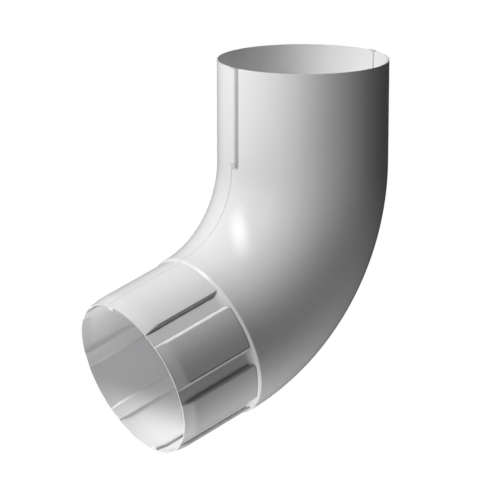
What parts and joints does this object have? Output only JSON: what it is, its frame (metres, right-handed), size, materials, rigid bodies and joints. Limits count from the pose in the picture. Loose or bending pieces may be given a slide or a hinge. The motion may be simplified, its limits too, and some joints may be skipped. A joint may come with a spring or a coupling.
{
  "type": "downspout elbow",
  "caption": "Round downspout elbow with a plain socket at one end and a stepped-in, channelled spigot at the other, pressed as half shells and joined by lock seams.",
  "frame": {"origin": "centre of the socket's mouth, on the socket's axis", "axes": "+Z points out of the socket's mouth along its axis; the elbow bends towards -X, so the spigot points to -X and down; the front half shell is on the -Y side"},
  "size_m": [0.188, 0.1, 0.2173],
  "materials": {
    "shell_paint": "light grey semi-gloss coating over galvanised sheet steel"
  },
  "bodies": {
    "root": {"front_half_shell": "shell_paint", "rear_half_shell": "shell_paint"}
  },
  "joints": []
}
